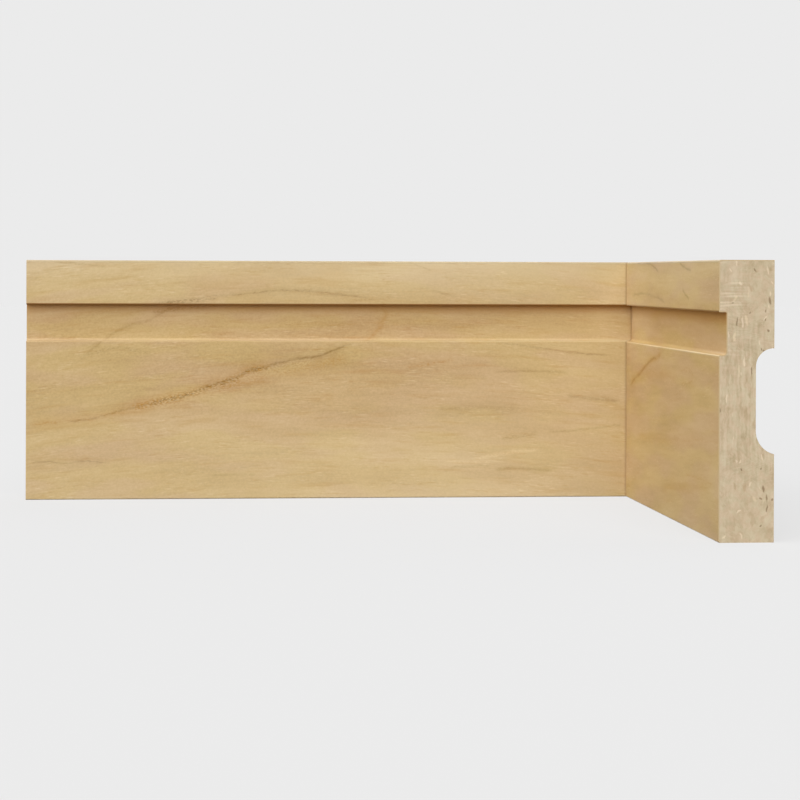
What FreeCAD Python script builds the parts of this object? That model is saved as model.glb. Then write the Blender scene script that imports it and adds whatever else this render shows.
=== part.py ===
import FreeCAD
import Part

import math
import os

# Free-standing inside corner of skirting board: a long board and a shorter return, mitred at
# 45 degrees. Each board is a chipboard core with a wood-grain foil wrapped over its top and front.
# All sizes are in millimetres. The origin is where both walls meet the floor, +X runs right along
# the long board, +Y points into the wall behind it and +Z is up. The return runs along -Y.

# Section of both boards
board_height = 80.0
board_thickness = 16.0
foil_thickness = 0.3

# Shadow groove along the front, below the top band
top_band_height = 14.8
groove_height = 12.2
groove_depth = 2.2

# Radii of the foiled edges, on the outside of the foil
top_arris_radius = 0.6
band_arris_radius = 0.2
ledge_arris_radius = 0.3

# Radii of the groove's inside corners, on the outside of the foil
ceiling_root_radius = 0.3
ledge_root_radius = 1.0

# The foil stops this far above the floor, so that the board stands on its core
foil_trim_height = 0.3

# Cable channel milled into the back, halfway up
channel_height = 30.0
channel_depth = 5.3
channel_upper_radius = 5.2
channel_lower_radius = 6.8

# Lengths along the walls, from the corner of the room to each sawn end
long_board_length = 219.0
return_board_length = 136.0

# How far the cutting shapes reach past the boards
cut_overrun = 4.0

# Heights and depths that follow from the sizes above, with depths measured from the wall
groove_ceiling = board_height - top_band_height
groove_ledge = groove_ceiling - groove_height
groove_floor_depth = board_thickness - groove_depth
channel_bottom = (board_height - channel_height) / 2
channel_top = channel_bottom + channel_height


def section_point(depth, height, along=0.0):
    """A point of the long board's section, by its depth from the wall and its height."""
    return FreeCAD.Vector(along, -depth, height)


def rounded_outline(corners, along):
    """A closed wire through (depth, height, radius) corners, with an arc at each radius above 0."""
    points = [section_point(depth, height, along) for depth, height, _ in corners]
    radii = [radius for _, _, radius in corners]
    arc_ends = []
    arcs = []
    for index, (point, radius) in enumerate(zip(points, radii)):
        back = (points[index - 1] - point).normalize()
        onward = (points[(index + 1) % len(points)] - point).normalize()
        if radius <= 0:
            arc_ends.append((point, point))
            arcs.append(None)
            continue
        half_angle = back.getAngle(onward) / 2
        reach = radius / math.tan(half_angle)
        start = point + back * reach
        end = point + onward * reach
        to_middle = radius / math.sin(half_angle) - radius
        middle = point + (back + onward).normalize() * to_middle
        arc_ends.append((start, end))
        arcs.append(Part.Arc(start, middle, end).toShape())
    edges = []
    for index, arc in enumerate(arcs):
        run_start = arc_ends[index - 1][1]
        run_end = arc_ends[index][0]
        edges.append(Part.LineSegment(run_start, run_end).toShape())
        if arc is not None:
            edges.append(arc)
    return Part.Wire(edges)


def front_corners(inset, foot_height):
    """Corners of the wrapped front from its foot to the back of the top, moved in by an inset."""
    front = board_thickness - inset
    groove_floor = groove_floor_depth - inset
    return [
        (front, foot_height, 0.0),
        (front, groove_ledge - inset, max(ledge_arris_radius - inset, 0.0)),
        (groove_floor, groove_ledge - inset, ledge_root_radius + inset),
        (groove_floor, groove_ceiling + inset, ceiling_root_radius + inset),
        (front, groove_ceiling + inset, max(band_arris_radius - inset, 0.0)),
        (front, board_height - inset, max(top_arris_radius - inset, 0.0)),
        (0.0, board_height - inset, 0.0),
    ]


def mitred(outline, length):
    """Extrudes a section outline to a length that ends in the 45 degree mitre at the corner."""
    blank = Part.Face(outline).extrude(FreeCAD.Vector(length, 0, 0))
    heel = cut_overrun
    toe = -board_thickness - cut_overrun
    plan = [(heel, heel), (toe, toe), (heel, toe), (heel, heel)]
    waste_wire = Part.makePolygon([FreeCAD.Vector(x, y, -cut_overrun) for x, y in plan])
    waste = Part.Face(waste_wire).extrude(FreeCAD.Vector(0, 0, board_height + 2 * cut_overrun))
    return blank.cut(waste).Solids[0]


def channel_cutter(length):
    """The milled cable channel: a flat floor with a rounded run-out at its top and bottom."""
    start = -length - cut_overrun

    def run_out(radius, lip_height, inward):
        """Lip on the back face, middle of the arc, and the point where the arc meets the floor."""
        centre_depth = channel_depth - radius
        lip_depth = max(centre_depth, 0.0)
        lip_angle = math.acos((lip_depth - centre_depth) / radius)
        centre_height = lip_height + inward * radius * math.sin(lip_angle)

        def on_arc(angle):
            depth = centre_depth + radius * math.cos(angle)
            return section_point(depth, centre_height - inward * radius * math.sin(angle), start)

        return on_arc(lip_angle), on_arc(lip_angle / 2), on_arc(0.0)

    lower = run_out(channel_lower_radius, channel_bottom, 1)
    upper = run_out(channel_upper_radius, channel_top, -1)
    outline = [
        section_point(-cut_overrun, channel_top, start),
        section_point(-cut_overrun, channel_bottom, start),
        lower[0],
    ]
    edges = [Part.LineSegment(outline[0], outline[1]), Part.LineSegment(outline[1], outline[2])]
    edges += [Part.Arc(*lower), Part.LineSegment(lower[2], upper[2]), Part.Arc(*reversed(upper))]
    edges += [Part.LineSegment(upper[0], outline[0])]
    wire = Part.Wire([edge.toShape() for edge in edges])
    return Part.Face(wire).extrude(FreeCAD.Vector(length + 2 * cut_overrun, 0, 0))


def board_core(length):
    """Chipboard core of one board, with the cable channel along its back."""
    corners = front_corners(foil_thickness, 0.0) + [(0.0, 0.0, 0.0)]
    core = mitred(rounded_outline(corners, -length), length)
    return core.cut(channel_cutter(length)).Solids[0]


def board_foil(length):
    """Foil of one board: a strip of even thickness over the top, the groove and the front."""
    outside = front_corners(0.0, foil_trim_height)
    inside = front_corners(foil_thickness, foil_trim_height)
    return mitred(rounded_outline(outside + inside[::-1], -length), length)


def as_return(shape):
    """Turns a board of the long side into one of the return, by mirroring it in the mitre."""
    mitre_normal = FreeCAD.Vector(1, -1, 0)
    return shape.mirror(FreeCAD.Vector(0, 0, 0), mitre_normal)


sub_parts = {
    "long_board_core": board_core(long_board_length),
    "long_board_foil": board_foil(long_board_length),
    "return_board_core": as_return(board_core(return_board_length)),
    "return_board_foil": as_return(board_foil(return_board_length)),
}

os.makedirs("parts", exist_ok=True)
for name, shape in sub_parts.items():
    box = shape.BoundBox
    print(f"{name}: {shape.Volume:.1f} mm3, valid {shape.isValid()}, solids {len(shape.Solids)},")
    print(f"  x {box.XMin:.2f}..{box.XMax:.2f} y {box.YMin:.2f}..{box.YMax:.2f}"
          f" z {box.ZMin:.2f}..{box.ZMax:.2f}")
    shape.exportStep(f"parts/{name}.step")
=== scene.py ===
"""Dresses an inside corner of skirting board: maple-grain foil wrapped over a sawn chipboard core.

Two boards meet in a mitre at the corner of the room. Sizes are in millimetres unless a name says
otherwise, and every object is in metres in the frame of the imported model: the origin is where both
walls meet the floor, +X runs right along the long board, +Y points into the wall behind it.
"""
from __future__ import annotations

import logging
import math
from dataclasses import dataclass, replace
from enum import Enum
from typing import Union

import bmesh
import bpy
from mathutils import Euler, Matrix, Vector


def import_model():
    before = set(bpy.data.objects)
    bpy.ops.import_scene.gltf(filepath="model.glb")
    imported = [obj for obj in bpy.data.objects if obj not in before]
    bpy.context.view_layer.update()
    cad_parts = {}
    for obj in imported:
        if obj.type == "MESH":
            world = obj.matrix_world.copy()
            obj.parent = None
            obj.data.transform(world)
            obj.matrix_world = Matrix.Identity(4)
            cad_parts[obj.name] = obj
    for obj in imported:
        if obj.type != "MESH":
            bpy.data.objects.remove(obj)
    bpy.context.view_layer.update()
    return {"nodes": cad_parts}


LOG = logging.getLogger("skirting_corner")
MM = 0.001
PHOTO_SIDE_PX = 800
SENSOR_MM = 36.0
NOISE_MIDDLE = 0.5
WHITE = (1.0, 1.0, 1.0, 1.0)
EASED = {"interpolation_type": "SMOOTHSTEP"}

Tree = bpy.types.NodeTree
Node = bpy.types.Node
Pair = tuple[float, float]
Triple = tuple[float, float, float]
Colour = tuple[float, float, float, float]
Tints = tuple[str, str, str]
Levels = tuple[Pair, ...]
Source = Union[Node, bpy.types.NodeSocket, float]


def linear_colour(srgb_hex: str) -> Colour:
    """Turns an sRGB colour into the linear colour that a shader socket takes.

    Args:
        srgb_hex: Six hex digits, such as "C9AC7E".

    Returns:
        Red, green, blue and an alpha of 1, in linear light.
    """
    channels = [int(srgb_hex[start : start + 2], 16) / 255 for start in (0, 2, 4)]
    linear = [c / 12.92 if c <= 0.04045 else ((c + 0.055) / 1.055) ** 2.4 for c in channels]
    return (linear[0], linear[1], linear[2], 1.0)


def add_node(
    tree: Tree, kind: str, inputs: dict[str, object] | tuple[object, ...] = (), **settings: object,
) -> Node:
    """Adds a shader node with its settings, its socket values and its links.

    Args:
        tree: The node tree that gets the node.
        kind: The node's type name after "ShaderNode", with its operation if it has one, such as
            "TexNoise" or "Math ADD".
        inputs: What the inputs get, by name or in the order in which the node shows them. That is
            a value, another node's socket, or a node whose first shown output is linked.
        settings: Attributes of the node, such as data_type="RGBA".

    Returns:
        The new node.
    """
    kind, _, operation = kind.partition(" ")
    node = tree.nodes.new(f"ShaderNode{kind}")
    if operation:
        node.operation = operation
    for name, setting in settings.items():
        setattr(node, name, setting)
    if isinstance(inputs, dict):
        wanted = [(node.inputs[name], source) for name, source in inputs.items()]
    else:
        wanted = list(zip([socket for socket in node.inputs if socket.enabled], inputs))
    for socket, source in wanted:
        if isinstance(source, Node):
            source = next(output for output in source.outputs if output.enabled)
        if isinstance(source, bpy.types.NodeSocket):
            tree.links.new(source, socket)
        else:
            socket.default_value = source
    return node


def empty_material(name: str) -> bpy.types.Material:
    """Makes a material without nodes."""
    material = bpy.data.materials.new(name)
    material.use_nodes = True
    material.node_tree.nodes.clear()
    return material


def point_in_mm(tree: Tree) -> Node:
    """Gives a material the point on the object, in millimetres."""
    place = add_node(tree, "TexCoord").outputs["Object"]
    return add_node(tree, "VectorMath SCALE", (place, 1 / MM))


def add_noises(tree: Tree, level: Source, noises: list[tuple[Source, Source]]) -> Source:
    """Adds noises to a level, each about its middle and by its weight.

    Args:
        tree: The material's node tree.
        level: The level without the noises.
        noises: Each noise, from 0 to 1, with its weight.

    Returns:
        The level with the noises.
    """
    for noise, weight in noises:
        centred = add_node(tree, "Math SUBTRACT", (noise, NOISE_MIDDLE))
        level = add_node(tree, "Math MULTIPLY_ADD", (centred, weight, level))
    return level


def tinted(tree: Tree, tone: Source, lean: Source, tints: tuple[Tints, Tints]) -> Node:
    """Colours wood by its tone, and leans it from one set of tints to another.

    Args:
        tree: The material's node tree.
        tone: From 0 for the darkest tint to 1 for the palest.
        lean: From 0 for the first set of tints to 1 for the second.
        tints: Two sets of a dark, a middle and a pale tint.

    Returns:
        The wood's colour.
    """
    ramps = []
    for tint_set in tints:
        ramp = add_node(tree, "ValToRGB", (tone,))
        ramp.color_ramp.elements.new(0.5)
        for element, tint in zip(ramp.color_ramp.elements, tint_set):
            element.color = linear_colour(tint)
        ramps.append(ramp)
    return add_node(tree, "Mix", (lean, *ramps), data_type="RGBA")


def painted(tree: Tree, colour: Source, tint: str, *shares: Source) -> Source:
    """Lays a tint over a colour.

    Args:
        tree: The material's node tree.
        colour: The colour that the tint covers.
        tint: The tint as sRGB hex.
        shares: How much of the tint shows, as shares that are multiplied.

    Returns:
        The new colour.
    """
    factor, *others = shares
    for share in others:
        factor = add_node(tree, "Math MULTIPLY", (factor, share))
    return add_node(tree, "Mix", (factor, colour, linear_colour(tint)), data_type="RGBA")


def level_along(tree: Tree, place: Source, span: float, top: float, points: Levels) -> Node:
    """Runs a smooth curve through chosen levels.

    Args:
        tree: The material's node tree.
        place: Where a point lies, from 0 to the span.
        span: The longest way that the curve covers.
        top: A level that no point of the curve passes.
        points: Pairs of a place and the level there, in order.

    Returns:
        The level at the point.
    """
    share = add_node(tree, "Math MULTIPLY", (place, 1 / span))
    node = add_node(tree, "FloatCurve", {"Value": share})
    curve = node.mapping.curves[0]
    wanted = [(at / span, level / top) for at, level in points]
    curve.points[0].location = wanted[0]
    curve.points[1].location = wanted[-1]
    for point in wanted[1:-1]:
        curve.points.new(*point)
    node.mapping.update()
    return add_node(tree, "Math MULTIPLY", (node, top))


class Run(Enum):
    """Which axis of the frame a board runs along, named by its letter."""

    ALONG_X = "X"
    ALONG_Y = "Y"

    @property
    def across(self) -> str:
        """The letter of the axis that goes through the board's thickness."""
        return "Y" if self is Run.ALONG_X else "X"


class Ink(Enum):
    """Inks of the print's growth lines."""

    OLIVE = "8C6A14"
    AMBER = "B07A18"
    BROWN = "7E5A10"
    PALE = "EFDAAC"


@dataclass(frozen=True)
class BoardSection:
    """Sizes of the boards' section that the looks are lined up with."""

    height: float = 80.0
    thickness: float = 16.0
    groove_ceiling: float = 65.2
    groove_ledge: float = 53.0
    foil_foot: float = 0.3

    @property
    def sheet_height(self) -> float:
        """Way up the wrapped sheet from the floor to the back of the top."""
        return self.height + self.thickness


@dataclass(frozen=True)
class Surface:
    """How a finish meets the light: its gloss, its refraction and its fine relief."""

    roughness: float
    ior: float
    relief_strength: float
    relief_depth: float

    def close(self, tree: Tree, colour: Source, relief: Source) -> None:
        """Ends a material in this surface.

        Args:
            tree: The material's node tree.
            colour: The finish's colour.
            relief: Height of the relief, from 0 to 1.
        """
        bump = add_node(
            tree,
            "Bump",
            {"Strength": self.relief_strength, "Distance": self.relief_depth * MM, "Height": relief},
        )
        shader = add_node(
            tree,
            "BsdfPrincipled",
            {"Base Color": colour, "Roughness": self.roughness, "IOR": self.ior, "Normal": bump},
        )
        add_node(tree, "OutputMaterial", {"Surface": shader})


@dataclass(frozen=True)
class Marks:
    """Marks of the print, drawn out along the grain.

    They have a usual length and width, octaves of finer marks, and a layer that keeps the marks of
    one foil apart.
    """

    length: float
    width: float
    octaves: float
    layer: int


@dataclass(frozen=True)
class Flecks:
    """Marks of one ink, which show where their noise passes from low to high."""

    marks: Marks
    low: float
    high: float
    share: float
    tint: str
    in_patches: bool = True


@dataclass(frozen=True)
class Sheet:
    """Where a surface point lies on the flat sheet of foil, in one material.

    Along is the distance from the inside corner. Wrapped is the way up the sheet: the height plus
    the depth behind the front face, so that the print runs on through the groove. Grain is the
    same way up, bent to follow the wood's grain.
    """

    tree: Tree
    axes: bpy.types.NodeOutputs
    along: Source
    wrapped: Source
    grain: Source
    seed: float
    layer_step: float = 7.3
    roughness: float = 0.55

    def noise(self, marks: Marks) -> Node:
        """Makes the noise of some marks, from 0 to 1 about a middle of 0.5."""
        u = add_node(self.tree, "Math MULTIPLY", (self.along, 1 / marks.length))
        v = add_node(self.tree, "Math MULTIPLY", (self.grain, 1 / marks.width))
        w = self.seed + self.layer_step * marks.layer
        point = add_node(self.tree, "CombineXYZ", (u, v, w))
        return add_node(
            self.tree,
            "TexNoise",
            {"Vector": point, "Scale": 1.0, "Detail": marks.octaves, "Roughness": self.roughness},
        )


@dataclass(frozen=True)
class PrintArea:
    """A soft patch of the print with a tone or a lean of its own.

    Its middle and its reach are (distance from the inside corner, way up the wrapped sheet). A tone
    above 0 pales the print there, and a lean above 0 turns it to pink. It shows in full up to a
    share of its reach.
    """

    middle: Pair
    reach: Pair
    tone: float = 0.0
    lean: float = 0.0
    full_share: float = 0.35

    def mask(self, sheet: Sheet) -> Node:
        """How fully the area shows at a point, from 1 in its middle to 0 at its rim."""
        tree = sheet.tree
        shrink = (1 / self.reach[0], 1 / self.reach[1], 0.0)
        place = add_node(tree, "CombineXYZ", (sheet.along, sheet.wrapped))
        offset = add_node(tree, "VectorMath SUBTRACT", (place, (*self.middle, 0.0)))
        scaled = add_node(tree, "VectorMath MULTIPLY", (offset, shrink))
        distance = add_node(tree, "VectorMath LENGTH", (scaled,))
        return add_node(tree, "MapRange", (distance, 1.0, self.full_share), **EASED)


@dataclass(frozen=True)
class GrowthLine:
    """A thin line of the wood figure, printed in the foil.

    Points are (distance from the inside corner, way up the wrapped sheet). A line has one height
    for each distance from the corner, or one distance for each height where it is steep. A softer
    shade lies round it, and it fades in and out over a share of its way at both ends.
    """

    points: Levels
    ink: Ink = Ink.BROWN
    width: float = 0.5
    strength: float = 0.4
    shade_width: float = 3.0
    shade_strength: float = 0.0
    graininess: float = 0.5
    steep: bool = False
    end_share: float = 0.12

    def mask(self, sheet: Sheet, spans: Pair, wobble: Source, grain: Source) -> Node:
        """Works out how strongly the line shows at a point.

        Args:
            sheet: Where the point lies on the foil.
            spans: The sheet's length and height.
            wobble: Noise that bends the line a little.
            grain: Mask that breaks the line into grains.

        Returns:
            The line's strength, from 0 to 1.
        """
        tree = sheet.tree
        run, rise = (sheet.wrapped, sheet.along) if self.steep else (sheet.along, sheet.wrapped)
        run_span, rise_span = reversed(spans) if self.steep else spans
        route = tuple(sorted((p[1], p[0]) if self.steep else p for p in self.points))
        course = level_along(tree, run, run_span, rise_span, route)
        target = add_node(tree, "Math ADD", (course, wobble))
        offset = add_node(tree, "Math SUBTRACT", (rise, target))
        centred = add_node(tree, "Math ADD", (offset, NOISE_MIDDLE))
        distance = add_node(tree, "Math ABSOLUTE", (centred,))
        core, shade = (
            add_node(
                tree,
                "MapRange",
                {"Value": distance, "From Min": width, "From Max": 0.0, "To Max": strength},
                **EASED,
            )
            for width, strength in (
                (self.width, self.strength), (self.shade_width, self.shade_strength),
            )
        )
        grained = add_node(tree, "MapRange", {"Value": grain, "To Min": 1.0 - self.graininess})
        mask = add_node(tree, "Math MULTIPLY_ADD", (core, grained, shade))
        start, end = route[0][0], route[-1][0]
        fade = self.end_share * (end - start)
        for edge, inner in ((start, start + fade), (end, end - fade)):
            inside = add_node(tree, "MapRange", (run, edge, inner), **EASED)
            mask = add_node(tree, "Math MULTIPLY", (mask, inside))
        return mask


@dataclass(frozen=True)
class MapleFoil:
    """Decor paper printed as plain-sawn maple, sealed with a satin lacquer and glued on.

    The print gives broad clouds that lean to yellow or to pink, paler sapwood towards the foot and
    the top, fine level dashes and a few growth lines that run on from the band through the groove
    to the lower face. The lacquer gives a low, wide sheen.
    """

    name: str
    run: Run
    length: float
    lines: tuple[GrowthLine, ...]
    areas: tuple[PrintArea, ...]
    seed: float
    surface: Surface = Surface(0.46, 1.46, 0.12, 0.05)

    # How the grain fans out from the top, or arches over a peak along the board
    grain_spread: float = 0.0
    grain_arch: float = 0.0
    arch_peak: float = 90.0

    # Clouds and fibres of the print, each with its weight
    broad_cloud: tuple[Marks, float] = (Marks(80.0, 24.0, 1.0, 0), 0.55)
    clouds: tuple[tuple[Marks, float], ...] = (
        (Marks(34.0, 8.0, 2.0, 1), 0.50), (Marks(22.0, 3.0, 2.0, 2), 0.36),
    )
    fibres: tuple[tuple[Marks, float], ...] = (
        (Marks(8.0, 1.1, 1.0, 3), 0.20), (Marks(2.0, 0.5, 1.0, 4), 0.22),
        (Marks(0.6, 0.5, 0.0, 5), 0.34),
    )
    pores: Marks = Marks(2.6, 0.3, 2.0, 20)
    cloud_share: float = 1.0
    fibre_share: float = 1.0

    # Lean to yellow or to pink
    yellow: Tints = ("A98852", "C5A76F", "D7BD8A")
    pink: Tints = ("AA8856", "C4A376", "D6BB90")
    lean_marks: Marks = Marks(26.0, 7.0, 1.0, 8)
    lean_limits: Pair = (0.36, 0.64)
    base_lean: float = 0.0

    # Painted light near the inside corner: the print is paler and greyer there, to even out the shade
    # and the warm light bounced off the return
    corner_reach: float = 48.0
    corner_painted_light: float = 0.0
    grey: str = "BEAC86"
    painted_grey_run: Pair = (90.0, 10.0)
    corner_painted_grey: float = 0.0

    # Sapwood: its share up the sheet, and how that rises and falls along the board
    sapwood: str = "E9D6AE"
    sapwood_marks: Marks = Marks(60.0, 12.0, 2.0, 9)
    sapwood_limits: tuple[float, float, float, float] = (0.3, 0.7, 0.75, 1.25)
    sapwood_top: float = 2.0
    sapwood_shares: Levels = (
        (0.0, 0.30), (12.0, 0.24), (40.0, 0.05), (54.0, 0.0), (60.0, 0.0), (66.0, 0.14),
        (72.0, 0.24), (77.0, 0.50), (80.0, 0.54), (96.0, 0.50),
    )
    sapwood_run: Levels = (
        (0.0, 0.35), (30.0, 0.90), (60.0, 1.30), (100.0, 1.20), (150.0, 0.80), (203.0, 0.70),
    )

    # Soft dark streaks, then dark and pale dashes in patches
    fleck_patches: Marks = Marks(20.0, 7.0, 1.0, 17)
    patch_limits: Pair = (0.42, 0.58)
    flecks: tuple[Flecks, ...] = (
        Flecks(Marks(16.0, 1.5, 2.0, 14), 0.54, 0.78, 0.26, Ink.AMBER.value, in_patches=False),
        Flecks(Marks(3.6, 0.45, 1.0, 15), 0.58, 0.78, 0.28, Ink.AMBER.value),
        Flecks(Marks(3.4, 0.45, 1.0, 16), 0.58, 0.78, 0.34, "E9D6AE"),
    )

    # What bends, breaks and grains the growth lines
    line_wobble: Marks = Marks(2.4, 1.6, 2.0, 11)
    line_breaks: Marks = Marks(9.0, 2.0, 1.0, 12)
    break_limits: Triple = (0.3, 0.6, 0.6)
    line_grains: Marks = Marks(0.9, 0.48, 1.0, 30)
    grain_limits: Pair = (0.44, 0.60)

    # Painted shade in the groove, warm like light bounced off the wood: how far below its ceiling it
    # reaches, with its share there
    painted_groove_shade: str = "AA6E02"
    groove_shade_ramps: Levels = ((12.0, 0.28), (3.2, 0.55))
    groove_shade_depths: Pair = (0.3, 1.2)
    groove_shade_run: float = 95.0
    corner_groove_shade: float = 1.0
    above_ceiling: float = 1.0

    # Painted shade on the arris under the band, a dark line where the band's shadow starts
    band_arris_painted_shade: str = "86581A"
    painted_arris_shade: float = 0.96
    arris_rise: float = 0.12
    arris_limits: Pair = (0.36, 0.24)
    front_depth: float = 0.5

    # Painted shade on the arris of the top, which dims the lamp's highlight there
    top_arris_painted_shade: str = "8C8266"
    top_shade_share: float = 0.42
    top_shade_heights: Pair = (0.9, 0.3)
    top_shade_depths: Pair = (1.6, 0.6)

    # Painted shade on the ledge, which dims and tints the lamp's highlight there; dust holds its colour
    dust: str = "ABA084"
    ledge_shade_share: float = 0.3
    ledge_shade_height: float = 0.8
    ledge_shade_depth: float = 0.3
    ledge_shade_foot: float = -0.4

    # Cut edges at the mitre and where the foil was trimmed
    joint: str = "7A4A10"
    joint_limits: Pair = (0.8, 0.1)
    joint_share: float = 0.34
    cut_edge: str = "C6AE86"
    cut_slack: float = 0.02

    def material(self, section: BoardSection) -> bpy.types.Material:
        """Builds the material.

        Args:
            section: The section that the print is wrapped round.

        Returns:
            The foil's material.
        """
        material = empty_material(self.name)
        sheet = self.sheet(material.node_tree, section)
        colour = self.clouded_wood(sheet)
        colour = self.with_sapwood(sheet, colour, section)
        colour = self.with_flecks(sheet, colour)
        colour = self.with_growth_lines(sheet, colour, section)
        colour = self.with_painted_shade(sheet, colour, section)
        colour = self.with_joint(sheet, colour)
        colour = self.with_cut_edges(sheet, colour, section)
        self.surface.close(sheet.tree, colour, sheet.noise(self.pores))
        return material

    def sheet(self, tree: Tree, section: BoardSection) -> Sheet:
        """Works out where a point lies on the flat sheet that was wrapped round the section."""
        axes = add_node(tree, "SeparateXYZ", (point_in_mm(tree),)).outputs
        across = axes[self.run.across]
        along = add_node(tree, "Math MULTIPLY_ADD", (axes[self.run.value], -1.0, -section.thickness))
        depth = add_node(tree, "Math ADD", (across, section.thickness))
        wrapped = add_node(tree, "Math ADD", (axes["Z"], depth))
        from_top = add_node(tree, "Math SUBTRACT", (wrapped, section.height))
        spread = add_node(tree, "Math MULTIPLY", (along, self.grain_spread))
        fanned = add_node(tree, "Math MULTIPLY_ADD", (from_top, spread, wrapped))
        from_peak = add_node(tree, "Math SUBTRACT", (along, self.arch_peak))
        squared = add_node(tree, "Math MULTIPLY", (from_peak, from_peak))
        grain = add_node(tree, "Math MULTIPLY_ADD", (squared, self.grain_arch, fanned))
        return Sheet(tree, axes, along, wrapped, grain, self.seed)

    def clouded_wood(self, sheet: Sheet) -> Source:
        """Adds up the print's clouds, fibres and areas, and leans them to yellow or pink."""
        tree = sheet.tree
        tone = add_node(
            tree,
            "MapRange",
            (sheet.along, self.corner_reach, 0.0, NOISE_MIDDLE, NOISE_MIDDLE + self.corner_painted_light),
            **EASED,
        )
        layers = [self.broad_cloud]
        layers += [(marks, weight * self.cloud_share) for marks, weight in self.clouds]
        layers += [(marks, weight * self.fibre_share) for marks, weight in self.fibres]
        tone = add_noises(tree, tone, [(sheet.noise(marks), weight) for marks, weight in layers])
        area_lean: Source = self.base_lean
        for area in self.areas:
            mask = area.mask(sheet)
            tone = add_node(tree, "Math MULTIPLY_ADD", (mask, area.tone, tone))
            area_lean = add_node(tree, "Math MULTIPLY_ADD", (mask, area.lean, area_lean))
        lean = add_node(tree, "MapRange", (sheet.noise(self.lean_marks), *self.lean_limits), **EASED)
        leaning = add_node(tree, "Math ADD", (lean, area_lean), use_clamp=True)
        return tinted(tree, tone, leaning, (self.yellow, self.pink))

    def with_sapwood(self, sheet: Sheet, colour: Source, section: BoardSection) -> Source:
        """Pales the print where the sheet shows sapwood, and greys it near the corner as painted light.
        """
        tree = sheet.tree
        share = add_node(tree, "MapRange", (sheet.noise(self.sapwood_marks), *self.sapwood_limits))
        levels = [
            level_along(tree, place, span, self.sapwood_top, shares)
            for place, span, shares in (
                (sheet.wrapped, section.sheet_height, self.sapwood_shares),
                (sheet.along, self.length, self.sapwood_run),
            )
        ]
        colour = painted(tree, colour, self.sapwood, share, *levels)
        painted_greyness = add_node(tree, "MapRange", (sheet.along, *self.painted_grey_run, 0.0, self.corner_painted_grey))
        return painted(tree, colour, self.grey, painted_greyness)

    def with_flecks(self, sheet: Sheet, colour: Source) -> Source:
        """Scatters soft dark streaks, and patches of the short dashes that maple shows."""
        tree = sheet.tree
        patches = add_node(tree, "MapRange", (sheet.noise(self.fleck_patches), *self.patch_limits))
        for flecks in self.flecks:
            share = add_node(
                tree,
                "MapRange",
                {"Value": sheet.noise(flecks.marks), "From Min": flecks.low,
                 "From Max": flecks.high, "To Max": flecks.share * self.fibre_share},
            )
            where = patches if flecks.in_patches else 1.0
            colour = painted(tree, colour, flecks.tint, share, where)
        return colour

    def with_growth_lines(self, sheet: Sheet, colour: Source, section: BoardSection) -> Source:
        """Draws the growth lines over the print, one ink at a time."""
        tree = sheet.tree
        spans = (self.length, section.sheet_height)
        wobble = sheet.noise(self.line_wobble)
        breaks = add_node(
            tree, "MapRange", (sheet.noise(self.line_breaks), *self.break_limits), **EASED,
        )
        for number, ink in enumerate(Ink):
            inked = [line for line in self.lines if line.ink is ink]
            if not inked:
                continue
            marks = replace(self.line_grains, layer=self.line_grains.layer + number)
            grain = add_node(tree, "MapRange", (sheet.noise(marks), *self.grain_limits))
            drawn, *others = [line.mask(sheet, spans, wobble, grain) for line in inked]
            for mask in others:
                drawn = add_node(tree, "Math MAXIMUM", (drawn, mask))
            colour = painted(tree, colour, ink.value, drawn, breaks)
        return colour

    def with_painted_shade(self, sheet: Sheet, colour: Source, section: BoardSection) -> Source:
        """Paints shade in the groove, under the band, on the top arris and on the ledge.

        Args:
            sheet: Where the point lies on the foil.
            colour: The print's colour.
            section: The section that the sheet is bent round.

        Returns:
            The colour with painted shade in the groove, on both arrises and on the ledge.
        """
        tree = sheet.tree
        height = sheet.axes["Z"]
        depth = add_node(tree, "Math SUBTRACT", (sheet.wrapped, height))
        below_band = self.below_band(sheet, section)
        for share, tint in (
            (self.groove_shade_share(sheet, depth, section), self.painted_groove_shade),
            (self.band_arris_shade_share(sheet, depth, section), self.band_arris_painted_shade),
        ):
            colour = painted(tree, colour, tint, share, below_band)
        colour = self.with_top_arris_shade(sheet, colour, section, depth)
        return self.with_ledge_shade(sheet, colour, section, depth)

    def below_band(self, sheet: Sheet, section: BoardSection) -> Source:
        """How fully the painted groove shade shows: not above the band's foot, less at the corner."""
        tree = sheet.tree
        limit = section.groove_ceiling + self.above_ceiling
        below = add_node(tree, "Math LESS_THAN", (sheet.axes["Z"], limit))
        from_corner = add_node(tree, "MapRange", (sheet.along, 0.0, self.groove_shade_run, self.corner_groove_shade))
        return add_node(tree, "Math MULTIPLY", (below, from_corner))

    def groove_shade_share(self, sheet: Sheet, depth: Source, section: BoardSection) -> Source:
        """How much painted shade the groove gets, most just under its ceiling, where the band shades it.
        """
        tree = sheet.tree
        inside = add_node(tree, "MapRange", (depth, *self.groove_shade_depths))
        ceiling = section.groove_ceiling
        painted_shade: Source = 0.0
        for reach, share in self.groove_shade_ramps:
            near = add_node(tree, "MapRange", (sheet.axes["Z"], ceiling - reach, ceiling, 0.0, share))
            painted_shade = add_node(tree, "Math ADD", (near, painted_shade))
        return add_node(tree, "Math MULTIPLY", (inside, painted_shade))

    def band_arris_shade_share(self, sheet: Sheet, depth: Source, section: BoardSection) -> Source:
        """How much painted shade the arris under the band gets, on the front alone."""
        tree = sheet.tree
        arris = section.groove_ceiling + self.arris_rise
        from_arris = add_node(tree, "Math SUBTRACT", (sheet.axes["Z"], arris))
        to_arris = add_node(tree, "Math ABSOLUTE", (from_arris,))
        share = add_node(tree, "MapRange", (to_arris, *self.arris_limits, 0.0, self.painted_arris_shade))
        on_front = add_node(tree, "Math LESS_THAN", (depth, self.front_depth))
        return add_node(tree, "Math MULTIPLY", (share, on_front))

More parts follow.
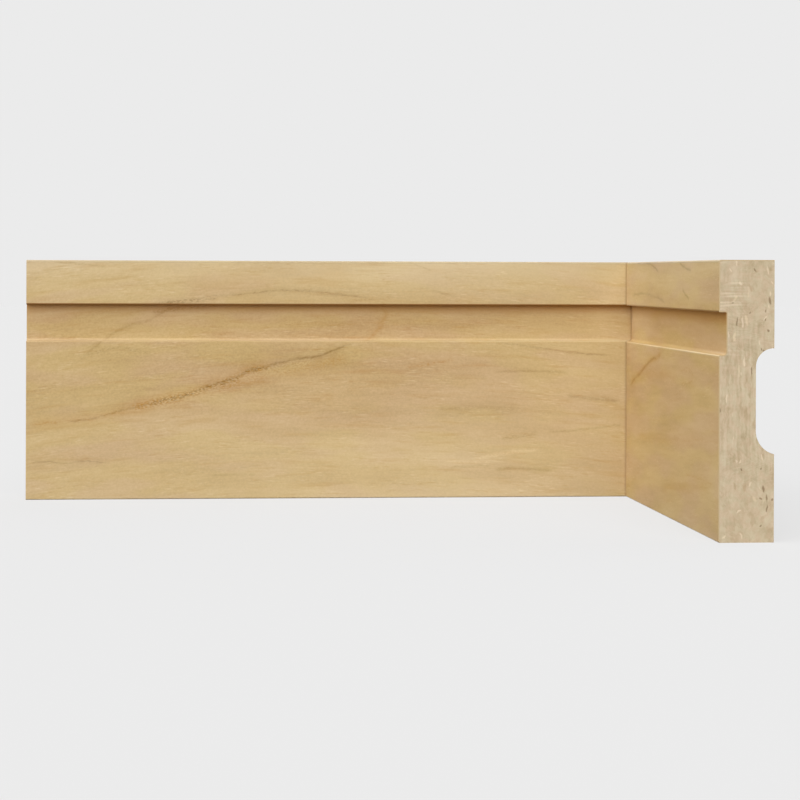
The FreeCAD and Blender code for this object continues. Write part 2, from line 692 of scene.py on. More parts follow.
    def with_top_arris_shade(
        self, sheet: Sheet, colour: Source, section: BoardSection, depth: Source
    ) -> Source:
        """Paints shade where the foil is bent over the top arris, dimming the lamp's highlight there."""
        tree = sheet.tree
        start, full = (section.height - below for below in self.top_shade_heights)
        near_top = add_node(tree, "MapRange", (sheet.axes["Z"], start, full, 0.0, self.top_shade_share))
        on_bend = add_node(tree, "MapRange", (depth, *self.top_shade_depths))
        return painted(tree, colour, self.top_arris_painted_shade, near_top, on_bend)

    def with_ledge_shade(self, sheet: Sheet, colour: Source, section: BoardSection, depth: Source) -> Source:
        """Paints shade on the ledge below the groove, dimming and tinting the lamp's highlight there."""
        tree = sheet.tree
        behind_front = add_node(tree, "MapRange", (depth, 0.0, self.ledge_shade_depth))
        above_ledge = add_node(tree, "Math SUBTRACT", (sheet.axes["Z"], section.groove_ledge))
        lying = add_node(tree, "MapRange", (above_ledge, self.ledge_shade_height, 0.0, 0.0, self.ledge_shade_share))
        ledge_shaded = painted(tree, colour, self.dust, behind_front, lying)
        above = add_node(tree, "Math GREATER_THAN", (above_ledge, self.ledge_shade_foot))
        return add_node(tree, "Mix", (above, colour, ledge_shaded), data_type="RGBA")

    def with_joint(self, sheet: Sheet, colour: Source) -> Source:
        """Darkens the cut edge of the foil where the two boards meet in the mitre."""
        tree = sheet.tree
        gap = add_node(tree, "Math SUBTRACT", (sheet.axes["X"], sheet.axes["Y"]))
        to_mitre = add_node(tree, "Math ABSOLUTE", (gap,))
        near = add_node(
            tree, "MapRange", (to_mitre, *self.joint_limits, 0.0, self.joint_share), **EASED,
        )
        return painted(tree, colour, self.joint, near)

    def with_cut_edges(self, sheet: Sheet, colour: Source, section: BoardSection) -> Source:
        """Shows bare paper and glue where the foil was trimmed: sawn end, foot and back."""
        tree, slack = sheet.tree, self.cut_slack
        across = sheet.axes[self.run.across]
        foot_limit = section.foil_foot + slack
        sawn = add_node(tree, "Math GREATER_THAN", (sheet.along, self.length - slack))
        foot = add_node(tree, "Math LESS_THAN", (sheet.axes["Z"], foot_limit))
        back = add_node(tree, "Math GREATER_THAN", (across, -slack))
        trimmed = add_node(tree, "Math MAXIMUM", (sawn, foot))
        trimmed = add_node(tree, "Math MAXIMUM", (trimmed, back))
        return painted(tree, colour, self.cut_edge, trimmed)


@dataclass(frozen=True)
class Chips:
    """One size of wood chip in the board.

    Radii are half its length, width and thickness. The share of cells that hold a chip is
    multiplied by the back share in a seam near the back.
    """

    spacing: float
    radii: Triple
    tint: str
    strength: float
    share: float
    layer: float
    back_share: float = 1.0


@dataclass(frozen=True)
class Billet:
    """Where a point lies in the pressed board, in one material, and how far chips lean there."""

    tree: Tree
    point: Source
    tumble: Source


@dataclass(frozen=True)
class Chipboard:
    """Pressed wood chips and resin, sawn and milled, so that every cut shows chips edge on.

    Chips lie flat in the board, apart from the top and the foot, where pressing tumbled them. A
    sawn end shows them as thin slivers, and the back shows them as flakes. Bare wood is matt.
    """

    name: str
    run: Run
    length: float
    seed: float
    surface: Surface = Surface(0.85, 1.45, 0.4, 0.12)
    chip_relief: float = 0.4
    pink: Tints = ("AD9570", "CCB697", "DCCBAE")
    grey: Tints = ("AA9470", "CAB898", "DACCAE")
    chips: tuple[Chips, ...] = (
        Chips(4.6, (3.0, 1.2, 0.42), "A98A64", 0.38, 0.42, 1.0),
        Chips(3.6, (2.3, 0.8, 0.30), "EFDDC0", 0.54, 0.32, 2.0, 1.8),
        Chips(5.2, (3.2, 1.3, 0.42), "E8D4B0", 0.52, 0.36, 3.0),
        Chips(2.8, (1.7, 0.5, 0.30), "75552F", 0.62, 0.06, 4.0, 8.0),
    )
    chip_shift: Triple = (11.7, 5.1, 3.3)
    chip_rim: Pair = (1.1, 0.5)

    # The seam near the back where dark chips gather
    seam_depth: float = 2.8
    seam_reach: Pair = (2.6, 1.2)

    # Bends that give every chip an uneven outline
    bend_scale: float = 0.6
    bend_reach: float = 0.9

    # Lean of the chips in radians, between two distances from half way up
    lean_limits: Pair = (12.0, 28.0)
    leans: Pair = (0.16, 1.3)

    # Length, thickness and width of the slivers between the chips, coarse and fine
    coarse_sliver: Triple = (4.2, 0.60, 2.2)
    fine_sliver: Triple = (2.2, 0.32, 1.2)
    coarse_shift: float = 21.0
    fine_shift: float = 57.0
    bundle_share: float = 1.6

    # Pressed strands, whose weight falls where the chips are tumbled, mottle and grit
    strand: Triple = (3.0, 0.8, 6.0)
    strand_weights: Pair = (0.9, 0.3)
    mottle_scale: float = 0.3
    mottle_weight: float = 1.02
    coarse_weight: float = 0.13
    fine_weight: float = 0.08
    grit_scale: float = 2.6
    grit_weight: float = 0.04
    patch_scale: float = 0.45
    patch_limits: Pair = (0.4, 0.6)

    # Tooth marks of the saw: their size and that of their patches, and where they lie
    mark_size: Pair = (9.0, 0.62)
    mark_layer: float = 3.0
    mark_patch_size: Pair = (7.0, 8.0)
    mark_patch_layer: float = 9.0
    mark_patch_limits: Pair = (0.40, 0.60)
    mark_depths: Pair = (-6.0, -12.0)
    mark_heights: Triple = (50.0, 62.0, 0.1)
    pale_mark: tuple[float, float, float, float] = (0.52, 0.68, 0.0, 0.40)
    dark_mark: tuple[float, float, float, float] = (0.48, 0.32, 0.0, 0.22)
    cut_slack: float = 0.02

    def material(self, section: BoardSection) -> bpy.types.Material:
        """Builds the material.

        Args:
            section: The section that the chips lie in.

        Returns:
            The chipboard's material.
        """
        material = empty_material(self.name)
        tree = material.node_tree
        billet = self.billet(tree, section)
        slivers = self.slivers(billet, self.coarse_sliver, self.coarse_shift)
        dust = self.slivers(billet, self.fine_sliver, self.fine_shift)
        colour = self.ground(billet, slivers, dust)
        relief: Source = slivers
        for chips in self.chips:
            mask = self.chip_mask(billet, chips)
            colour = painted(tree, colour, chips.tint, mask, chips.strength)
            relief = add_node(tree, "Math MULTIPLY_ADD", (mask, self.chip_relief, relief))
        self.surface.close(tree, self.with_saw_marks(tree, colour), relief)
        return material

    def billet(self, tree: Tree, section: BoardSection) -> Billet:
        """Places a point in the board, bent a little so that no chip has a clean outline.

        Args:
            tree: The material's node tree.
            section: The section that the chips lie in.

        Returns:
            The point, with its first axis along the board and its second through it, and the lean
            of the chips there, which grows towards the top and the foot.
        """
        place = add_node(tree, "TexCoord").outputs["Object"]
        axes = add_node(tree, "SeparateXYZ", (place,)).outputs
        turned = add_node(tree, "CombineXYZ", (axes[self.run.value], axes[self.run.across], axes["Z"]))
        in_mm = add_node(tree, "VectorMath SCALE", (turned, 1 / MM))
        shifted = add_node(tree, "VectorMath ADD", (in_mm, (self.seed, 0.0, 0.0)))
        bend = add_node(
            tree, "TexNoise", {"Vector": shifted, "Scale": self.bend_scale, "Detail": 1.0}
        ).outputs["Color"]
        middle, reach = (NOISE_MIDDLE,) * 3, (self.bend_reach,) * 3
        centred = add_node(tree, "VectorMath SUBTRACT", (bend, middle))
        bent = add_node(tree, "VectorMath MULTIPLY_ADD", (centred, reach, shifted))
        height = add_node(tree, "Math MULTIPLY", (axes["Z"], 1 / MM))
        from_middle = add_node(tree, "Math SUBTRACT", (height, section.height / 2))
        distance = add_node(tree, "Math ABSOLUTE", (from_middle,))
        tumble = add_node(tree, "MapRange", (distance, *self.lean_limits, *self.leans), **EASED)
        return Billet(tree, bent, tumble)

    def turned_like_a_chip(self, billet: Billet, point: Source, random: Source) -> Source:
        """Turns a point into the axes of a chip: its length, its thickness and its width.

        Args:
            billet: The board, with the lean of its chips.
            point: The point to turn.
            random: The chip's random colour, whose channels set its turns.

        Returns:
            The turned point.
        """
        tree = billet.tree
        channels = add_node(tree, "SeparateColor", (random,)).outputs
        spin = add_node(tree, "Math MULTIPLY", (channels[0], 2 * math.pi))
        side = add_node(tree, "MapRange", {"Value": channels[1], "To Min": -1.0, "To Max": 1.0})
        lean = add_node(tree, "Math MULTIPLY", (side, billet.tumble))
        for axis, angle in (("Y_AXIS", spin), ("X_AXIS", lean)):
            point = add_node(
                tree, "VectorRotate", {"Vector": point, "Angle": angle}, rotation_type=axis
            )
        return point

    def slivers(self, billet: Billet, size: Triple, shift: float) -> Source:
        """Fills the board with slivers that lie together in bundles of one direction.

        Args:
            billet: The board.
            size: A sliver's length, thickness and width.
            shift: Distance that keeps two fillings apart.

        Returns:
            Each sliver's own tone, from 0 to 1.
        """
        tree = billet.tree
        moved = add_node(tree, "VectorMath ADD", (billet.point, (shift,) * 3))
        bundle_size = self.bundle_share * size[0]
        bundles = add_node(tree, "TexVoronoi", {"Vector": moved, "Scale": 1 / bundle_size})
        turned = self.turned_like_a_chip(billet, moved, bundles.outputs["Color"])
        shrink = tuple(1 / side for side in size)
        scaled = add_node(tree, "VectorMath MULTIPLY", (turned, shrink))
        cells = add_node(tree, "TexVoronoi", {"Vector": scaled, "Scale": 1.0})
        return add_node(tree, "SeparateColor", (cells.outputs["Color"],))

    def ground(self, billet: Billet, slivers: Source, dust: Source) -> Source:
        """Colours the slivers, and leans patches of them to pink or to grey.

        Args:
            billet: The board.
            slivers: The slivers' own tones.
            dust: The finer slivers' own tones.

        Returns:
            The colour of the pressed wood between the larger chips.
        """
        tree, point = billet.tree, billet.point
        shrink = tuple(1 / side for side in self.strand)
        drawn_out = add_node(tree, "VectorMath MULTIPLY", (point, shrink))
        strands = add_node(tree, "TexNoise", {"Vector": drawn_out, "Scale": 1.0, "Detail": 2.0})
        strand_weight = add_node(tree, "MapRange", (billet.tumble, *self.leans, *self.strand_weights))
        mottle = add_node(
            tree,
            "TexNoise",
            {"Vector": point, "Scale": self.mottle_scale, "Detail": 3.0, "Roughness": 0.6},
        )
        grit, patches = (
            add_node(tree, "TexNoise", {"Vector": point, "Scale": scale, "Detail": 1.0})
            for scale in (self.grit_scale, self.patch_scale)
        )
        noises = [
            (mottle, self.mottle_weight),
            (strands, strand_weight),
            (slivers, self.coarse_weight),
            (dust, self.fine_weight),
            (grit, self.grit_weight),
        ]
        tone = add_noises(tree, NOISE_MIDDLE, noises)
        lean = add_node(tree, "MapRange", (patches, *self.patch_limits), **EASED)
        return tinted(tree, tone, lean, (self.pink, self.grey))

    def with_saw_marks(self, tree: Tree, colour: Source) -> Source:
        """Draws level tooth marks in patches of the sawn end, towards the front."""
        axes = add_node(tree, "SeparateXYZ", (point_in_mm(tree),)).outputs
        along, across, height = axes[self.run.value], axes[self.run.across], axes["Z"]
        noises = []
        for (length, width), layer in (
            (self.mark_size, self.mark_layer), (self.mark_patch_size, self.mark_patch_layer),
        ):
            u = add_node(tree, "Math MULTIPLY", (across, 1 / length))
            v = add_node(tree, "Math MULTIPLY", (height, 1 / width))
            point = add_node(tree, "CombineXYZ", (u, v, self.seed + layer))
            noises.append(add_node(tree, "TexNoise", {"Vector": point, "Scale": 1.0, "Detail": 0.0}))
        marks, patches = noises
        sawn = add_node(tree, "Math LESS_THAN", (along, self.cut_slack - self.length))
        strength = add_node(tree, "MapRange", (across, *self.mark_depths))
        patch = add_node(tree, "MapRange", (patches, *self.mark_patch_limits))
        upper = add_node(tree, "MapRange", (height, *self.mark_heights))
        for where in (patch, sawn, upper):
            strength = add_node(tree, "Math MULTIPLY", (strength, where))
        for limits, chips in ((self.pale_mark, self.chips[1]), (self.dark_mark, self.chips[0])):
            mark = add_node(tree, "MapRange", (marks, *limits))
            colour = painted(tree, colour, chips.tint, mark, strength)
        return colour

    def chip_mask(self, billet: Billet, chips: Chips) -> Source:
        """Scatters one size of chip through the board, at most one to a cell.

        Args:
            billet: The board.
            chips: The chips' spacing, size and share of the cells.

        Returns:
            A mask that is 1 inside a chip.
        """
        tree = billet.tree
        shift = tuple(step * chips.layer for step in self.chip_shift)
        moved = add_node(tree, "VectorMath ADD", (billet.point, shift))
        cells = add_node(tree, "TexVoronoi", {"Vector": moved, "Scale": 1 / chips.spacing}).outputs
        local = add_node(tree, "VectorMath SUBTRACT", (moved, cells["Position"]))
        turned = self.turned_like_a_chip(billet, local, cells["Color"])
        length, width, thickness = chips.radii
        shrink = (1 / length, 1 / thickness, 1 / width)
        scaled = add_node(tree, "VectorMath MULTIPLY", (turned, shrink))
        reach = add_node(tree, "VectorMath LENGTH", (scaled,))
        body = add_node(tree, "MapRange", (reach, *self.chip_rim), **EASED)
        through = add_node(tree, "SeparateXYZ", (billet.point,)).outputs["Y"]
        from_seam = add_node(tree, "Math ADD", (through, self.seam_depth))
        to_seam = add_node(tree, "Math ABSOLUTE", (from_seam,))
        shares = (chips.share, chips.share * chips.back_share)
        share = add_node(tree, "MapRange", (to_seam, *self.seam_reach, *shares))
        draw = add_node(tree, "SeparateColor", (cells["Color"],)).outputs[2]
        chosen = add_node(tree, "Math LESS_THAN", (draw, share))
        return add_node(tree, "Math MULTIPLY", (body, chosen))


@dataclass
class Board:
    """One board of the corner: its core and the foil wrapped over it."""

    name: str
    foil: MapleFoil
    core: Chipboard

    def dress(self, nodes: dict[str, bpy.types.Object], section: BoardSection) -> None:
        """Gives the board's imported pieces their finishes.

        Args:
            nodes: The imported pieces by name.
            section: The section that the foil is wrapped round.
        """
        finishes = {
            f"{self.name}_foil": self.foil.material(section),
            f"{self.name}_core": self.core.material(section),
        }
        for piece, material in finishes.items():
            nodes[piece].data.materials.clear()
            nodes[piece].data.materials.append(material)
            LOG.info("%s wears %s", piece, material.name)


@dataclass(frozen=True)
class Lamp:
    """A soft lamp, so far to the left of the camera's side and so high, in degrees."""

    name: str
    strength: float
    turn_deg: float
    height_deg: float
    softness_deg: float = 92.0

    def build(self) -> None:
        """Hangs the lamp."""
        lamp = bpy.data.lights.new(self.name, "SUN")
        lamp.energy = self.strength
        lamp.angle = math.radians(self.softness_deg)
        holder = bpy.data.objects.new(self.name, lamp)
        turn = math.radians(self.turn_deg)
        rise = math.radians(self.height_deg)
        left, front = math.sin(turn) * math.cos(rise), math.cos(turn) * math.cos(rise)
        towards_lamp = Vector((-left, -front, math.sin(rise)))
        holder.rotation_euler = towards_lamp.to_track_quat("Z", "Y").to_euler()
        bpy.context.scene.collection.objects.link(holder)
        LOG.info("%s hangs", self.name)


@dataclass(frozen=True)
class Studio:
    """Plain pale floor, even pale surround, soft lamp from the upper left and weak one behind.

    The floor that the camera sees is the page colour with a faint shadow of the boards. The floor
    that the boards see is greyer, so that it lights them from below only a little.
    """

    page: str = "EBEBEB"
    seen_albedo: float = 0.69
    bounce_albedo: float = 0.25
    floor_side_m: float = 8.0
    shadow_share: float = 0.2
    surround_strength: float = 0.1
    lamps: tuple[Lamp, ...] = (Lamp("soft_lamp", 4.12, 36.0, 44.0), Lamp("fill_lamp", 1.3, 215.0, 30.0))

    def build(self) -> None:
        """Makes the floor, the surround and the lamps."""
        self.add_floor()
        self.add_surround()
        for lamp in self.lamps:
            lamp.build()

    def add_floor(self) -> None:
        """Lays the floor, which looks like the page but keeps the shadow of the boards."""
        shape = bmesh.new()
        bmesh.ops.create_grid(shape, x_segments=1, y_segments=1, size=self.floor_side_m / 2)
        mesh = bpy.data.meshes.new("floor")
        shape.to_mesh(mesh)
        shape.free()
        floor = bpy.data.objects.new("floor", mesh)
        bpy.context.scene.collection.objects.link(floor)
        material = empty_material("floor_paper")
        tree = material.node_tree
        plain, shown = (
            add_node(tree, "BsdfDiffuse", {"Color": (albedo, albedo, albedo, 1.0)})
            for albedo in (self.bounce_albedo, self.seen_albedo)
        )
        page = add_node(tree, "Emission", {"Color": linear_colour(self.page), "Strength": 1.0})
        seen = add_node(tree, "MixShader", (self.shadow_share, page, shown))
        rays = add_node(tree, "LightPath").outputs
        surface = add_node(tree, "MixShader", (rays["Is Camera Ray"], plain, seen))
        add_node(tree, "OutputMaterial", {"Surface": surface})
        mesh.materials.append(material)
        LOG.info("floor wears %s", material.name)

    def add_surround(self) -> None:
        """Sets an even surround that lights softly and is seen as the page colour."""
        world = bpy.data.worlds.new("pale_surround")
        bpy.context.scene.world = world
        world.use_nodes = True
        tree = world.node_tree
        tree.nodes.clear()
        rays = add_node(tree, "LightPath").outputs
        seen: Source = rays["Is Camera Ray"]
        for ray in ("Is Glossy Ray", "Is Transmission Ray"):
            seen = add_node(tree, "Math MAXIMUM", (seen, rays[ray]))
        light = add_node(tree, "Background", {"Color": WHITE, "Strength": self.surround_strength})
        page = add_node(tree, "Background", {"Color": linear_colour(self.page), "Strength": 1.0})
        both = add_node(tree, "MixShader", (seen, light, page))
        add_node(tree, "OutputWorld", {"Surface": both})


@dataclass(frozen=True)
class PhotoCamera:
    """The camera of the photograph: level, nearly square on to the long board."""

    place: Triple = (-166.8, -698.1, 75.4)
    turn_right_deg: float = 4.75
    roll_deg: float = 0.196
    focal_px: float = 2027.0
    shift_x: float = 0.06
    shift_y: float = -0.1565

    def build(self) -> None:
        """Makes the camera and gives it to the scene."""
        data = bpy.data.cameras.new("photo_camera")
        data.sensor_width = SENSOR_MM
        data.lens = self.focal_px * SENSOR_MM / PHOTO_SIDE_PX
        data.shift_x = self.shift_x
        data.shift_y = self.shift_y
        camera = bpy.data.objects.new("photo_camera", data)
        camera.location = Vector(self.place) * MM
        level = math.radians(90.0)
        roll = -math.radians(self.roll_deg)
        turn = -math.radians(self.turn_right_deg)
        camera.rotation_euler = Euler((level, roll, turn), "XYZ")
        bpy.context.scene.collection.objects.link(camera)
        bpy.context.scene.camera = camera


LONG_BOARD_FIGURE = (
    # The main streak: olive on the left, amber and grainy half way, brown up to the ledge
    GrowthLine(
        ((203.0, 25.2), (196.0, 25.6), (186.4, 26.4), (181.3, 27.1), (175.9, 28.4), (171.1, 29.8),
         (164.4, 31.3)),
        Ink.AMBER, 1.0, 0.30, 4.6, 0.22, 0.8,
    ),
    GrowthLine(
        ((190.0, 26.0), (186.4, 26.4), (181.3, 27.1), (175.9, 28.4), (171.1, 29.8), (164.4, 31.3),
         (158.7, 32.8)),
        Ink.BROWN, 0.6, 0.42, 2.0, 0.0, 0.6,
    ),
    GrowthLine(
        ((171.1, 29.9), (164.4, 31.4), (158.7, 32.8), (152.6, 34.1), (147.2, 35.8), (141.1, 38.2),
         (133.7, 40.4), (129.3, 42.9), (124.6, 43.9), (118.5, 45.6)),
        Ink.AMBER, 2.2, 0.60, 5.4, 0.28, 1.0,
    ),
    GrowthLine(
        ((164.0, 31.5), (158.7, 32.7), (147.2, 35.7), (141.1, 38.1), (133.7, 40.3), (129.3, 42.8),
         (124.6, 43.8), (118.5, 45.5)),
        Ink.BROWN, 1.6, 0.76, 3.0, 0.02, 1.0,
    ),
    GrowthLine(
        ((147.2, 35.9), (141.1, 38.3), (133.7, 40.5), (129.3, 43.0), (124.6, 44.0),
         (118.5, 45.8), (112.4, 47.1), (106.4, 47.8), (99.9, 50.0), (98.3, 50.7), (92.9, 52.7)),
        Ink.BROWN, 0.65, 0.60, 3.4, 0.14, 0.35,
    ),
    GrowthLine(((139.5, 36.6), (136.5, 37.6), (131.0, 40.2)), Ink.AMBER, 1.9, 0.60, 3.0, 0.1, 0.7),
    # Coarse pores, pale and dark, below the streak
    GrowthLine(
        ((166.0, 31.0), (152.6, 33.6), (141.1, 37.4), (129.3, 41.6), (118.0, 44.2), (104.0, 46.2)),
        Ink.PALE, 3.4, 0.20, 4.0, 0.0, 1.0,
    ),
    GrowthLine(
        ((138.0, 36.4), (128.0, 39.8), (118.0, 42.6), (106.0, 44.8), (94.0, 47.4)),
        Ink.AMBER, 3.0, 0.26, 5.0, 0.12, 1.0,
    ),
    # Its tip, up through the groove
    GrowthLine(
        ((92.9, 52.6), (86.8, 57.0), (83.4, 62.0), (82.7, 65.4), (86.1, 67.2)),
        Ink.AMBER, 1.3, 0.24, 3.4, 0.12, 0.6, steep=True,
    ),
    # Back along the band, down through the groove and out on the lower face
    GrowthLine(
        ((84.0, 65.6), (89.5, 67.6), (93.5, 68.3), (99.9, 68.9), (107.7, 69.8), (117.8, 70.1),
         (124.6, 69.6), (131.3, 68.8), (141.1, 68.1), (146.5, 67.2), (151.9, 66.2), (156.0, 65.2)),
        Ink.BROWN, 0.55, 0.34, 2.4, 0.08, 0.7,
    ),
    GrowthLine(
        ((138.0, 68.0), (144.0, 67.2), (150.0, 66.4), (156.0, 65.6), (162.0, 65.0)),
        Ink.BROWN, 1.3, 0.46, 3.0, 0.10, 0.9,
    ),
    GrowthLine(
        ((80.0, 67.6), (85.0, 67.4), (91.0, 67.0), (96.0, 66.4)), Ink.AMBER, 1.3, 0.30, 2.6, 0.06, 0.9
    ),
    GrowthLine(
        ((154.0, 66.6), (158.0, 64.7), (161.9, 62.3), (167.1, 61.0), (171.9, 59.0), (175.9, 56.3),
         (179.3, 51.7), (182.7, 49.0), (185.4, 45.3)),
        Ink.OLIVE, 0.8, 0.28, 2.8, 0.12, 0.5,
    ),
    GrowthLine(
        ((186.0, 47.6), (178.0, 49.8), (172.0, 50.6), (166.0, 49.6), (160.0, 48.6)),
        Ink.OLIVE, 0.9, 0.26, 2.4, 0.05, 0.9,
    ),
    GrowthLine(((194.0, 79.4), (186.0, 78.8), (176.0, 77.6)), Ink.OLIVE, 0.6, 0.30),
    # Short faint lines on the right, and one low on the left
    GrowthLine(
        ((76.0, 44.2), (68.5, 45.0), (63.0, 46.2), (58.6, 46.8)), Ink.AMBER, 0.8, 0.36, 2.6, 0.08, 0.9
    ),
    GrowthLine(
        ((46.0, 52.8), (36.0, 51.6), (25.4, 50.0), (16.6, 49.0), (4.0, 48.2)),
        Ink.BROWN, 0.55, 0.38, 2.0, 0.06, 0.6,
    ),
    GrowthLine(((46.0, 42.5), (33.0, 42.8), (19.5, 42.4)), Ink.OLIVE, 0.7, 0.30, 1.8, 0.06),
    GrowthLine(((21.0, 34.4), (12.0, 33.6), (2.0, 32.6)), Ink.BROWN, 0.9, 0.22, 2.0, 0.08),
    GrowthLine(((66.0, 29.6), (47.0, 30.4), (36.0, 29.4)), Ink.OLIVE, 1.1, 0.22, 4.0, 0.14, 0.8),
    GrowthLine(((43.5, 20.1), (37.0, 20.6), (30.0, 21.4)), Ink.OLIVE, 1.0, 0.26, 2.4, 0.08, 0.8),
    # Ripples low on the right
    GrowthLine(((53.0, 12.8), (45.0, 14.4), (37.0, 15.6), (29.0, 16.4)), Ink.PALE, 1.1, 0.34, 2.4, 0.05),
    GrowthLine(((63.0, 12.6), (54.0, 12.0), (44.0, 12.4)), Ink.PALE, 0.9, 0.26),
    GrowthLine(((61.0, 10.2), (53.0, 10.6), (46.0, 10.6)), Ink.OLIVE, 0.8, 0.24),
    GrowthLine(((46.0, 9.4), (36.0, 9.8), (25.0, 8.8)), Ink.OLIVE, 0.9, 0.26, 2.0, 0.06),
    GrowthLine(((28.0, 21.8), (14.0, 23.0), (0.5, 24.8)), Ink.OLIVE, 0.7, 0.30),
    GrowthLine(
        ((202.0, 12.0), (197.0, 12.9), (190.0, 12.2), (184.0, 12.9), (176.0, 12.2)),
        Ink.BROWN, 0.5, 0.30, 1.8, 0.06,
    ),
    GrowthLine(((142.0, 7.6), (134.0, 8.2), (126.0, 8.0)), Ink.OLIVE, 0.6, 0.24, 1.8, 0.06),
    GrowthLine(((76.0, 80.2), (71.5, 78.4), (66.5, 76.9)), Ink.BROWN, 0.6, 0.20),
    # Warm wood in the middle of the band and along its foot
    GrowthLine(((152.0, 72.0), (126.0, 74.5), (92.0, 77.0)), Ink.AMBER, 0.2, 0.0, 8.0, 0.14),
    GrowthLine(((150.0, 67.4), (110.0, 67.0), (44.0, 67.0)), Ink.AMBER, 0.2, 0.0, 3.4, 0.13),
    GrowthLine(((67.5, 70.3), (63.0, 69.2), (58.0, 68.0)), Ink.BROWN, 0.6, 0.24),
)

LONG_BOARD_AREAS = (
    # Pink heartwood below the main streak, and yellow wood above it
    PrintArea((90.0, 40.0), (87.0, 18.4), lean=0.9),
    PrintArea((113.0, 48.0), (34.0, 8.0), -0.15, -0.7),
    PrintArea((82.0, 45.5), (20.0, 5.0), lean=-0.4),
    PrintArea((137.0, 48.5), (20.0, 8.0), lean=-0.6),
    PrintArea((170.0, 17.0), (26.0, 9.0), lean=0.6),
    # Lower face, from the sawn end to the corner
    PrintArea((194.0, 46.0), (28.0, 10.0), 0.11),
    PrintArea((128.0, 23.5), (30.0, 8.0), 0.15),
    PrintArea((130.0, 11.5), (26.0, 6.0), 0.10),
    PrintArea((46.0, 27.0), (32.0, 9.0), -0.15),
    PrintArea((42.0, 9.0), (26.0, 5.0), -0.17),
    PrintArea((12.0, 28.0), (18.0, 8.0), lean=0.5),
    # Painted shade: a darker strip low along the inside corner
    PrintArea((2.0, 16.0), (6.0, 22.0), -0.05),
    PrintArea((12.0, 28.0), (16.0, 8.0), 0.08),
    # Groove
    PrintArea((107.0, 59.5), (24.0, 5.0), -0.13),
    PrintArea((66.0, 63.0), (32.0, 6.0), -0.20),
    PrintArea((58.0, 59.0), (26.0, 5.0), lean=0.5),
    # Painted light: the groove paler at the inside corner, where light bounces off the return
    PrintArea((3.0, 61.0), (12.0, 11.0), 0.26),
    # Band
    PrintArea((180.0, 73.0), (36.0, 8.0), 0.14),
    PrintArea((113.0, 78.5), (26.0, 5.0), -0.18, -0.6),
    PrintArea((100.0, 68.3), (44.0, 3.6), -0.16, -0.5),
    PrintArea((5.0, 73.0), (18.0, 9.0), -0.09),
)

RETURN_AREAS = (
    PrintArea((12.0, 68.0), (26.0, 22.0), 0.30),
    PrintArea((55.0, 15.0), (30.0, 6.0), -0.12),
    PrintArea((93.0, 42.0), (16.0, 6.0), -0.12, -0.4),
    PrintArea((108.0, 57.5), (26.0, 4.0), 0.22),
    PrintArea((102.0, 68.6), (26.0, 3.0), 0.22),
    PrintArea((60.0, 73.0), (62.0, 10.0), 0.14, -0.2),
)

RETURN_FIGURE = (
    GrowthLine(
        ((4.4, 37.2), (12.0, 40.6), (20.8, 43.0), (28.0, 45.6), (37.9, 48.3), (46.1, 49.6),
         (50.2, 51.0), (52.9, 52.3)),
        Ink.AMBER, 1.4, 0.50, 3.4, 0.16, 0.4,
    ),
    GrowthLine(
        ((4.4, 37.2), (12.0, 40.6), (20.8, 43.0), (28.0, 45.6), (37.9, 48.3), (46.1, 49.6)),
        Ink.BROWN, 0.8, 0.36, 2.0, 0.0, 0.5,
    ),
    GrowthLine(
        ((7.5, 68.6), (16.4, 69.3), (26.6, 69.5), (40.7, 68.8), (48.8, 68.1), (54.2, 67.1),
         (56.8, 65.6)),
        Ink.BROWN, 0.7, 0.28, 2.4, 0.08, 0.3,
    ),
    GrowthLine(
        ((14.9, 79.8), (25.2, 79.6), (35.1, 79.2), (42.0, 77.9), (47.5, 76.4)),
        Ink.BROWN, 0.6, 0.44, 1.8, 0.08, 0.3,
    ),
    GrowthLine(((73.6, 79.5), (79.8, 78.1), (88.9, 76.9)), Ink.BROWN, 0.6, 0.38, 1.8, 0.08, 0.3),
    GrowthLine(((77.3, 71.6), (81.0, 70.0), (85.9, 68.4)), Ink.OLIVE, 0.7, 0.42, 1.8, 0.08, 0.3),
    GrowthLine(
        ((72.3, 46.3), (79.8, 47.0), (87.1, 47.0), (91.9, 45.7)),
        Ink.AMBER, 0.8, 0.36, 2.4, 0.06, 0.9,
    ),
    GrowthLine(((76.1, 42.8), (82.3, 42.9), (91.9, 44.6)), Ink.AMBER, 0.8, 0.36, 2.4, 0.06, 0.9),
    GrowthLine(
        ((6.0, 39.6), (22.0, 42.2), (35.1, 43.4), (55.5, 44.4), (74.8, 44.3)),
        Ink.AMBER, 2.6, 0.20, 5.0, 0.10, 0.3,
    ),
    GrowthLine(
        ((14.0, 21.8), (40.0, 23.4), (62.1, 24.5), (99.0, 28.2)), Ink.AMBER, 2.2, 0.18, 4.0, 0.10
    ),
    GrowthLine(((50.0, 8.0), (80.0, 11.6), (112.0, 15.4)), Ink.AMBER, 2.2, 0.18, 5.0, 0.12, 0.4),
    GrowthLine(
        ((36.5, 23.1), (60.0, 24.2), (75.0, 25.1), (90.0, 26.6), (107.0, 28.0)),
        Ink.AMBER, 0.7, 0.30, 2.0, 0.05, 0.6,
    ),
    GrowthLine(
        ((81.0, 15.4), (90.0, 15.9), (98.4, 16.0), (114.9, 15.8)), Ink.AMBER, 0.7, 0.30, 2.0, 0.05, 0.6
    ),
)


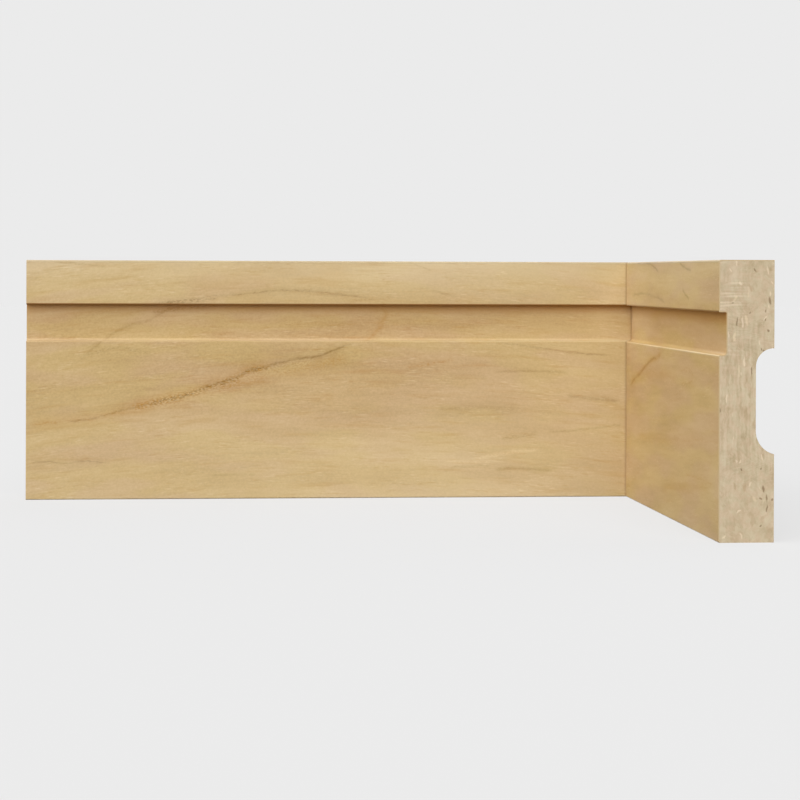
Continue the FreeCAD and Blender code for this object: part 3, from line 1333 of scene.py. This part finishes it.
@dataclass(frozen=True)
class SkirtingCorner:
    """The inside corner: a long board and a return, mitred where the foils meet."""

    section: BoardSection = BoardSection()
    long_length: float = 219.0
    return_length: float = 136.0

    def boards(self) -> list[Board]:
        """The two boards with the figure that each of them shows."""
        long_foil = MapleFoil(
            "maple_foil_long",
            Run.ALONG_X,
            self.long_length - self.section.thickness,
            LONG_BOARD_FIGURE,
            LONG_BOARD_AREAS,
            3.0,
            # Painted light near the corner: paler, greyer print
            corner_painted_light=0.12,
            corner_painted_grey=0.28,
            grain_arch=0.0005,
            base_lean=-0.3,
        )
        return_foil = MapleFoil(
            "maple_foil_return",
            Run.ALONG_Y,
            self.return_length - self.section.thickness,
            RETURN_FIGURE,
            RETURN_AREAS,
            31.0,
            cloud_share=1.5,
            fibre_share=0.6,
            corner_painted_light=0.02,
            grain_spread=0.00135,
            groove_shade_ramps=((12.0, 0.30), (4.5, 0.72)),
            # In the sapwood shares, the steep rise at the ledge's arris, 52.8 to 53.3 up the sheet, is a
            # painted highlight
            sapwood_shares=(
                (0.0, 0.08), (40.0, 0.02), (52.4, 0.0), (52.8, 0.84), (53.3, 0.84),
                (53.9, 0.04), (60.0, 0.0), (66.0, 0.04), (80.0, 0.14), (96.0, 0.24),
            ),
            sapwood_run=((0.0, 0.40), (24.0, 0.80), (50.0, 1.10), (120.0, 1.10)),
            # Painted shade and a warm tint on the ledge, over the lamp's highlight
            ledge_shade_share=0.30,
            dust="BC9238",
            corner_groove_shade=0.62,
            painted_arris_shade=0.86,
        )
        long_core = Chipboard("chipboard_long", Run.ALONG_X, self.long_length, 40.0)
        return_core = Chipboard("chipboard_return", Run.ALONG_Y, self.return_length, 90.0)
        return [
            Board("long_board", long_foil, long_core),
            Board("return_board", return_foil, return_core),
        ]

    def build(self, nodes: dict[str, bpy.types.Object]) -> None:
        """Dresses both boards."""
        for board in self.boards():
            board.dress(nodes, self.section)


def main() -> None:
    """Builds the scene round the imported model."""
    logging.basicConfig(level=logging.INFO, format="%(name)s: %(message)s")
    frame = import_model()
    bpy.context.scene.view_settings.view_transform = "Standard"
    PhotoCamera().build()
    Studio().build()
    SkirtingCorner().build(frame["nodes"])


if __name__ == "__main__":
    main()
